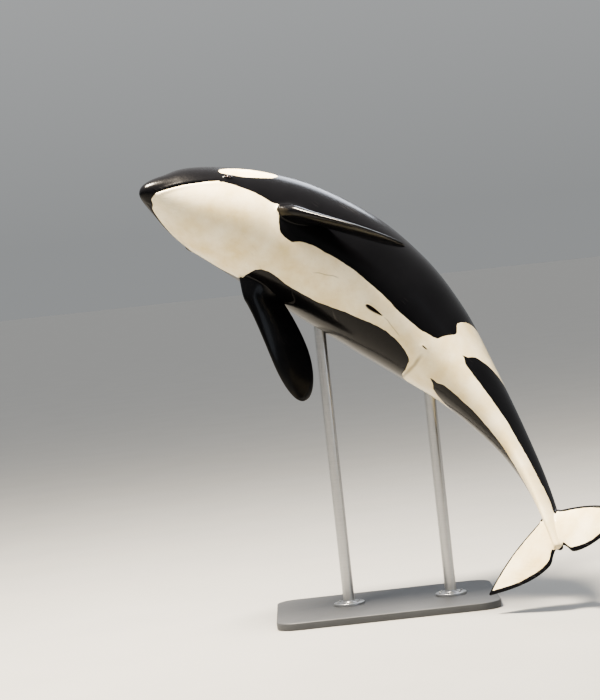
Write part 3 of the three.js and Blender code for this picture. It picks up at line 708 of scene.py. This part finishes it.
# saddle: a grey smoke behind the dorsal fin, wider round the body towards its rear
saddle_station, saddle_reach, saddle_spread, saddle_widening = 0.545, 0.055, 46, 16
saddle_along = (station - saddle_station) / saddle_reach
saddle_round = (180 - turn) / (saddle_spread + saddle_widening * np.clip(saddle_along, -1, 1))
write("saddle", np.clip(1.25 - np.hypot(saddle_along, saddle_round), 0, 1) * (1 - read("black_fin")))


# Living skin, wet
# Rubbery, very smooth skin under a film of water: a soft sheen over near-black, and over ivory
# that is warmer in wide clouds. Shallow lengthwise creases and a fine ripple break up the sheen.
def linear(code):
    """An sRGB hex colour as linear values."""
    parts = [int(code[i:i + 2], 16) / 255 for i in (0, 2, 4)]
    return [c / 12.92 if c <= 0.04045 else ((c + 0.055) / 1.055) ** 2.4 for c in parts] + [1]


def add(material, kind, links=(), **settings):
    """Adds a node; links are (input, value or the socket that feeds it)."""
    made = material.node_tree.nodes.new(kind)
    for name, value in settings.items():
        setattr(made, name, value)
    for where, what in links:
        if isinstance(what, bpy.types.NodeSocket):
            material.node_tree.links.new(what, made.inputs[where])
        else:
            made.inputs[where].default_value = what
    return made


def new_material(name):
    material = bpy.data.materials.new(name)
    material.use_nodes = True
    material.node_tree.nodes.clear()
    return material


def wet_skin():
    m = new_material("wet_orca_skin")
    place = add(m, "ShaderNodeTexCoord").outputs["Object"]
    white_mm, saddle, fold_across, fold_shade_here, inside = (
        add(m, "ShaderNodeAttribute", attribute_name=name).outputs["Fac"]
        for name in ("white_mm", "saddle", "fold_across", "fold_shade_here", "inside"))

    # the border wanders a few millimetres in waves of about 15 cm, and feathers out over 4 mm
    wander = add(m, "ShaderNodeTexNoise", [("Vector", place), ("Scale", 7), ("Detail", 4)])
    shifted = add(m, "ShaderNodeMath", [
        (0, wander.outputs["Fac"]), (1, 30), (2, white_mm)], operation="MULTIPLY_ADD")
    edge = add(m, "ShaderNodeMapRange", [
        ("Value", shifted.outputs[0]), ("From Min", 13), ("From Max", 17)],
        interpolation_type="SMOOTHSTEP")

    # black: near-black in clouds about 45 cm across, with a paler smoke behind the dorsal fin
    cloud = add(m, "ShaderNodeTexNoise", [
        ("Vector", place), ("Scale", 2.2), ("Detail", 6), ("Roughness", 0.6)])
    black = add(m, "ShaderNodeMix", [
        ("Factor", cloud.outputs["Fac"]), ("A", linear("040405")), ("B", linear("101013"))],
        data_type="RGBA")
    smoke = add(m, "ShaderNodeMath", [(0, saddle), (1, cloud.outputs["Fac"])], operation="MULTIPLY")
    grey = add(m, "ShaderNodeMix", [
        ("Factor", smoke.outputs[0]), ("A", black.outputs["Result"]), ("B", linear("9a9b9a"))],
        data_type="RGBA")

    # white: ivory, warmer in clouds about 30 cm across, with a faint mottle of 2 cm
    warm = add(m, "ShaderNodeTexNoise", [
        ("Vector", place), ("Scale", 3.4), ("Detail", 4), ("Roughness", 0.55)])
    warm_much = add(m, "ShaderNodeMapRange", [
        ("Value", warm.outputs["Fac"]), ("From Min", 0.35), ("From Max", 0.72)])
    ivory = add(m, "ShaderNodeMix", [
        ("Factor", warm_much.outputs[0]), ("A", linear("eae0c4")), ("B", linear("d3c092"))],
        data_type="RGBA")
    mottle = add(m, "ShaderNodeTexNoise", [("Vector", place), ("Scale", 46), ("Detail", 3)])
    mottle_much = add(m, "ShaderNodeMapRange", [
        ("Value", mottle.outputs["Fac"]), ("From Min", 0.55), ("From Max", 0.75), ("To Max", 0.25)])
    speckled = add(m, "ShaderNodeMix", [
        ("Factor", mottle_much.outputs[0]), ("A", ivory.outputs["Result"]), ("B", linear("cdbb9a"))],
        data_type="RGBA")
    marked = add(m, "ShaderNodeMix", [
        ("Factor", edge.outputs[0]), ("A", grey.outputs["Result"]), ("B", speckled.outputs["Result"])],
        data_type="RGBA")

    # rake marks: a few small patches of parallel healed lines, grey and faint; they are 35 mm apart
    # and 5 mm wide, twice a real one's width, as coarse as they need to be to show
    rake = add(m, "ShaderNodeTexWave", [
        ("Vector", place), ("Scale", 9), ("Distortion", 2.5), ("Detail", 1), ("Detail Scale", 0.6)],
        bands_direction="DIAGONAL")
    lines = add(m, "ShaderNodeMapRange", [
        ("Value", rake.outputs["Fac"]), ("From Min", 0.94), ("From Max", 0.99)])
    patches = add(m, "ShaderNodeTexNoise", [("Vector", place), ("Scale", 3.6), ("Detail", 1)])
    in_patch = add(m, "ShaderNodeMapRange", [
        ("Value", patches.outputs["Fac"]), ("From Min", 0.64), ("From Max", 0.76), ("To Max", 0.22)])
    healed = add(m, "ShaderNodeMath", [
        (0, lines.outputs[0]), (1, in_patch.outputs[0])], operation="MULTIPLY")
    scratched = add(m, "ShaderNodeMix", [
        ("Factor", healed.outputs[0]), ("A", marked.outputs["Result"]), ("B", linear("646160"))],
        data_type="RGBA")

    # folds: a soft brown line of painted shade that fades out 37 mm to each side where it shows wider,
    # and 11 mm elsewhere; last, painted shade on the dark inside of the openings
    from_fold = add(m, "ShaderNodeMath", [(0, fold_across)], operation="ABSOLUTE")
    fold_shade_line = add(m, "ShaderNodeMapRange", [
        ("Value", from_fold.outputs[0]), ("From Max", 22), ("To Min", 0.55), ("To Max", 0)],
        interpolation_type="SMOOTHSTEP")
    fold = add(m, "ShaderNodeMath", [(0, fold_shade_line.outputs[0]), (1, fold_shade_here)], operation="MULTIPLY")
    # painted shade along the folds, in brown 4a3a24
    fold_shaded = add(m, "ShaderNodeMix", [
        ("Factor", fold.outputs[0]), ("A", scratched.outputs["Result"]), ("B", linear("4a3a24"))],
        data_type="RGBA")
    # painted shade: the inside of the openings is darkened to 1d1211
    colour = add(m, "ShaderNodeMix", [
        ("Factor", inside), ("A", fold_shaded.outputs["Result"]), ("B", linear("1d1211"))],
        data_type="RGBA")

    # relief: creases about 14 cm apart and over a metre long, and a ripple of about 26 mm, which
    # also makes the film of water uneven
    long_way = add(m, "ShaderNodeMapping", [
        ("Vector", place), ("Rotation", (0.3, 0.5, 0.35)), ("Scale", (0.8, 8, 8))])
    creases = add(m, "ShaderNodeTexNoise", [
        ("Vector", long_way.outputs[0]), ("Scale", 0.9), ("Detail", 3)])
    ripple = add(m, "ShaderNodeTexNoise", [
        ("Vector", place), ("Scale", 38), ("Detail", 4), ("Roughness", 0.55)])
    both = add(m, "ShaderNodeMath", [
        (0, creases.outputs["Fac"]), (1, 2.6), (2, ripple.outputs["Fac"])], operation="MULTIPLY_ADD")
    relief = add(m, "ShaderNodeBump", [
        ("Height", both.outputs[0]), ("Strength", 0.25), ("Distance", 0.0020)])
    gloss = add(m, "ShaderNodeMapRange", [
        ("Value", ripple.outputs["Fac"]), ("To Min", 0.16), ("To Max", 0.28)])
    shader = add(m, "ShaderNodeBsdfPrincipled", [
        ("Base Color", colour.outputs["Result"]), ("Roughness", gloss.outputs[0]), ("IOR", 1.34),
        ("Specular IOR Level", 0.28), ("Coat Weight", 0.08), ("Coat Roughness", 0.08),
        ("Coat IOR", 1.33), ("Normal", relief.outputs[0])])
    add(m, "ShaderNodeOutputMaterial", [("Surface", shader.outputs[0])])
    return m


smooth_mesh.materials.append(wet_skin())
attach(orca_skin, "root")
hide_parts("head", "lower_jaw", "chest", "midriff", "loin", "tail_stock", "dorsal_fin",
            "flipper_left", "flipper_right", "fluke_left", "fluke_right")


# Eyes
# Dark brown balls with a clear, bulging front and a wide pupil, held in the lids. A film of
# tears gives them one hard, small glint.
cornea_bulge = 0.0016


def eye_material():
    """Wet eye: pupil, iris, dark rim and white in rings round its axis, under a sharp gloss."""
    m = new_material("wet_eye")
    off_axis = add(m, "ShaderNodeAttribute", attribute_name="off_axis").outputs["Fac"]
    rings_of_eye = add(m, "ShaderNodeValToRGB", [("Fac", off_axis)])
    stops = rings_of_eye.color_ramp.elements
    stops[0].color, stops[1].color = linear("050406"), linear("8c7f78")
    for position, code in (
            (0.22, "06050a"), (0.27, "20130c"), (0.46, "3a2517"), (0.54, "0f0a08"), (0.66, "4c403b")):
        stop = stops.new(position)
        stop.color = linear(code)
    shader = add(m, "ShaderNodeBsdfPrincipled", [
        ("Base Color", rings_of_eye.outputs["Color"]), ("Roughness", 0.08), ("IOR", 1.38),
        ("Coat Weight", 1.0), ("Coat Roughness", 0.02)])
    add(m, "ShaderNodeOutputMaterial", [("Surface", shader.outputs[0])])
    return m


def new_piece(bm, name, material, node, sharp=None):
    """A smooth piece that stands for a CAD node; edges of more than sharp degrees stay sharp."""
    bmesh.ops.recalc_face_normals(bm, faces=bm.faces)
    piece = into_object(bm, name)
    if sharp:
        piece.data.set_sharp_from_angle(angle=radians(sharp))
    piece.data.materials.append(material)
    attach(piece, "root")
    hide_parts(node)


eye_finish = eye_material()
for side, name in ((1, "left"), (-1, "right")):
    ball = bmesh.new()
    off_axis = ball.verts.layers.float.new("off_axis")
    bmesh.ops.create_uvsphere(ball, u_segments=40, v_segments=28, radius=eye_radius)
    for v in ball.verts:
        v[off_axis] = 1
        if v.co.z > 0:
            v[off_axis] = hypot(v.co.x, v.co.y) / eye_radius
            v.co.z += cornea_bulge * exp(-((v[off_axis] / 0.5) ** 4))
    axis = skin_axes(eye_station, eye_angle * side)[2]
    aim = axis.to_track_quat("Z", "Y").to_matrix().to_4x4()
    set_in = Matrix.Translation(snout + eye_middle(side)) @ aim
    bmesh.ops.transform(ball, matrix=set_in, verts=ball.verts)
    new_piece(ball, "eyeball_" + name, eye_finish, "eye_" + name)


# Base
# A heavy steel slab with rounded corners and an eased edge. It stands flat on the floor, and
# both feet are bolted down to it.
corner_radius, edge_ease = 0.22, 0.011


def powder_coat():
    """Dark grey powder coat: a dull sheen, slightly uneven in clouds of 30 cm, over orange peel.

    Real orange peel is about 1 mm; this one is 4 mm, as coarse as it needs to be to show."""
    m = new_material("powder_coated_steel")
    place = add(m, "ShaderNodeTexCoord").outputs["Object"]
    peel = add(m, "ShaderNodeTexNoise", [("Vector", place), ("Scale", 260), ("Detail", 2)])
    dust = add(m, "ShaderNodeTexNoise", [("Vector", place), ("Scale", 3), ("Detail", 5)])
    tone = add(m, "ShaderNodeMix", [
        ("Factor", dust.outputs["Fac"]), ("A", linear("3a3c3f")), ("B", linear("46484b"))],
        data_type="RGBA")
    relief = add(m, "ShaderNodeBump", [
        ("Height", peel.outputs["Fac"]), ("Strength", 0.2), ("Distance", 0.0006)])
    rough = add(m, "ShaderNodeMapRange", [
        ("Value", dust.outputs["Fac"]), ("To Min", 0.42), ("To Max", 0.58)])
    shader = add(m, "ShaderNodeBsdfPrincipled", [
        ("Base Color", tone.outputs["Result"]), ("Roughness", rough.outputs[0]),
        ("Normal", relief.outputs[0])])
    add(m, "ShaderNodeOutputMaterial", [("Surface", shader.outputs[0])])
    return m


low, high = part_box("stand_base")
slab = bmesh.new()
bmesh.ops.create_cube(slab, size=1)
bmesh.ops.scale(slab, vec=high - low, verts=slab.verts)
bmesh.ops.translate(slab, vec=(low + high) / 2, verts=slab.verts)
upright = [e for e in slab.edges if abs(e.verts[0].co.z - e.verts[1].co.z) > 0.01]
bmesh.ops.bevel(slab, geom=upright, offset=corner_radius, affect="EDGES", segments=12, profile=0.5,
                material=-1)
# the rims are the edges where a level face meets an upright one
rims = []
for e in slab.edges:
    levels = [abs(f.normal.z) for f in e.link_faces]
    if max(levels) > 0.9 and min(levels) < 0.1:
        rims.append(e)
bmesh.ops.bevel(slab, geom=rims, offset=edge_ease, affect="EDGES", segments=4, profile=0.5, material=-1)
new_piece(slab, "display_base", powder_coat(), "stand_base", sharp=35)


# Rods and feet
# Satin-brushed stainless tubes that carry the body, each welded to a round foot. Six cap bolts
# on washers hold a foot to the base.
rod_radius, into_flesh = 0.062, 0.05
foot_radius, foot_thick = 0.170, 0.030
weld_round, rim_ease = 0.022, 0.008
bolt_count, bolt_circle, bolt_start = 6, 0.126, 0.3


def brushed_steel():
    """Brushed stainless steel: fine level rings that spread each reflection up and down.

    Real brushing is well under 1 mm; this one is 2.4 mm, as coarse as it needs to be to show."""
    m = new_material("brushed_stainless_steel")
    place = add(m, "ShaderNodeTexCoord").outputs["Object"]
    around = add(m, "ShaderNodeMapping", [("Vector", place), ("Scale", (3, 3, 420))])
    grain = add(m, "ShaderNodeTexNoise", [
        ("Vector", around.outputs[0]), ("Scale", 1), ("Detail", 3)])
    tone = add(m, "ShaderNodeMix", [
        ("Factor", grain.outputs["Fac"]), ("A", linear("a5a6a8")), ("B", linear("c4c5c6"))],
        data_type="RGBA")
    rough = add(m, "ShaderNodeMapRange", [
        ("Value", grain.outputs["Fac"]), ("To Min", 0.24), ("To Max", 0.40)])
    relief = add(m, "ShaderNodeBump", [
        ("Height", grain.outputs["Fac"]), ("Strength", 0.08), ("Distance", 0.0004)])
    shader = add(m, "ShaderNodeBsdfPrincipled", [
        ("Base Color", tone.outputs["Result"]), ("Metallic", 1), ("Roughness", rough.outputs[0]),
        ("Normal", relief.outputs[0])])
    add(m, "ShaderNodeOutputMaterial", [("Surface", shader.outputs[0])])
    return m


def revolve(profile, middle, steps=64):
    """A turned piece from its outline of (radius, height) points, which starts and ends on the axis."""
    bm = bmesh.new()
    points = [bm.verts.new((r, 0, z)) for r, z in profile]
    outline = [bm.edges.new(pair) for pair in zip(points, points[1:])]
    bmesh.ops.spin(bm, geom=points + outline, cent=(0, 0, 0), axis=(0, 0, 1), angle=tau, steps=steps,
                   use_merge=True)
    bmesh.ops.remove_doubles(bm, verts=bm.verts, dist=1e-5)
    bmesh.ops.translate(bm, vec=middle, verts=bm.verts)
    return bm


weld = [(rod_radius + weld_round * (1 - sin(t)), foot_thick + weld_round * (1 - cos(t)))
        for t in (0, 0.3, 0.6, 0.9, 1.2, pi / 2)]
foot_rim = [(foot_radius - rim_ease + rim_ease * cos(t), foot_thick - rim_ease + rim_ease * sin(t))
            for t in (0, 0.5, 1.0, pi / 2)]
foot_outline = [(0, 0), (foot_radius, 0), *foot_rim, *weld, (0, foot_thick + weld_round)]
# washer, head with an eased edge, and socket
bolt_outline = [
    (0, -0.004), (0.017, -0.004), (0.017, 0.002), (0.012, 0.002), (0.012, 0.011), (0.0105, 0.0125),
    (0.006, 0.0125), (0.006, 0.006), (0, 0.006)]
steel = brushed_steel()
for place_name in ("front", "rear"):
    low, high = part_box("stand_foot_" + place_name)
    middle = Vector(((low.x + high.x) / 2, (low.y + high.y) / 2, low.z))
    foot = revolve(foot_outline, middle)
    for k in range(bolt_count):
        bolt_turn = k * tau / bolt_count + bolt_start
        outward = Vector((cos(bolt_turn), sin(bolt_turn), 0))
        bolt = revolve(bolt_outline, middle + outward * bolt_circle + Vector((0, 0, foot_thick)), 24)
        bolt_mesh = bpy.data.meshes.new("bolt")
        bolt.to_mesh(bolt_mesh)
        bolt.free()
        foot.from_mesh(bolt_mesh)
        bpy.data.meshes.remove(bolt_mesh)
    new_piece(foot, "foot_" + place_name, steel, "stand_foot_" + place_name, sharp=40)

    low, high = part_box("stand_rod_" + place_name)
    tube = bmesh.new()
    length = high.z - low.z + into_flesh
    bmesh.ops.create_cone(tube, cap_ends=True, segments=64, radius1=rod_radius, radius2=rod_radius,
                          depth=length)
    bmesh.ops.translate(tube, vec=(middle.x, middle.y, low.z + length / 2), verts=tube.verts)
    new_piece(tube, "rod_" + place_name, steel, "stand_rod_" + place_name, sharp=40)


# Floor, light and camera
# A plain pale floor under pale air. One big soft light stands high on the left, as the photo's
# sun does, with a weak fill from the right and a weak rim light from behind.
def studio_floor():
    """Pale matt floor, with clouds of more than a metre that barely show."""
    m = new_material("pale_floor")
    place = add(m, "ShaderNodeTexCoord").outputs["Object"]
    cloud = add(m, "ShaderNodeTexNoise", [("Vector", place), ("Scale", 0.8), ("Detail", 6)])
    tone = add(m, "ShaderNodeMix", [
        ("Factor", cloud.outputs["Fac"]), ("A", linear("969694")), ("B", linear("9e9e9c"))],
        data_type="RGBA")
    shader = add(m, "ShaderNodeBsdfPrincipled", [
        ("Base Color", tone.outputs["Result"]), ("Roughness", 0.6)])
    add(m, "ShaderNodeOutputMaterial", [("Surface", shader.outputs[0])])
    return m


floor_bm = bmesh.new()
bmesh.ops.create_grid(floor_bm, x_segments=1, y_segments=1, size=400)
floor = into_object(floor_bm, "floor")
floor.data.materials.append(studio_floor())

# the air behind is as pale as the far floor, and brightens overhead
world = bpy.data.worlds.new("studio")
bpy.context.scene.world = world
world.use_nodes = True
direction = add(world, "ShaderNodeTexCoord").outputs["Generated"]
height = add(world, "ShaderNodeSeparateXYZ", [(0, direction)]).outputs["Z"]
upward = add(world, "ShaderNodeMapRange", [("Value", height), ("From Min", 0.02), ("From Max", 0.75)])
air = add(world, "ShaderNodeMix", [
    ("Factor", upward.outputs[0]), ("A", linear("9a9c9d")), ("B", linear("ffffff"))],
    data_type="RGBA")
sky = world.node_tree.nodes["Background"]
sky.inputs["Strength"].default_value = 0.85
world.node_tree.links.new(air.outputs["Result"], sky.inputs["Color"])


def area_light(name, at, target, size, power, code):
    """A round lamp, in metres and watts, turned towards a target."""
    lamp = bpy.data.lights.new(name, "AREA")
    lamp.shape, lamp.size, lamp.energy = "DISK", size, power
    lamp.color = linear(code)[:3]
    holder = bpy.data.objects.new(name, lamp)
    bpy.context.collection.objects.link(holder)
    holder.location = at
    holder.rotation_euler = (Vector(target) - Vector(at)).to_track_quat("-Z", "Y").to_euler()


body_middle = (-0.3, -0.2, 3.2)
area_light("key", (-4.5, -2.0, 16), body_middle, 4, 17000, "fff1dc")
area_light("fill", (12, -10, 6), body_middle, 8, 300, "e4eefc")
area_light("rim", (3, 12, 12), body_middle, 6, 500, "eef4ff")

# the camera stands 25 m off, where the photo's stood, looks a little down and leans a little to
# its right; its focal length is in pixels of a picture 700 pixels high
focal_pixels, picture_height, sensor_height = 2347, 700, 36
camera_offset = Vector((1.490, -24.752, -0.979))
forward = Vector((0, 0.99939, -0.03486)).normalized()
leaning_up = Vector((0.1076, -0.0328, 0.9936))
camera_data = bpy.data.cameras.new("camera")
camera_data.sensor_fit = "VERTICAL"
camera_data.sensor_height = sensor_height
camera_data.lens = focal_pixels / picture_height * sensor_height
camera_data.clip_end = 1500
camera = bpy.data.objects.new("camera", camera_data)
bpy.context.collection.objects.link(camera)
bpy.context.scene.camera = camera
right = forward.cross(leaning_up).normalized()
above_camera = right.cross(forward)
camera_turn = Matrix((right, above_camera, -forward)).transposed().to_4x4()
camera.matrix_world = Matrix.Translation(snout + camera_offset) @ camera_turn

# firm contrast, for hard sun on black and white skin
bpy.context.scene.view_settings.look = "AgX - Medium High Contrast"
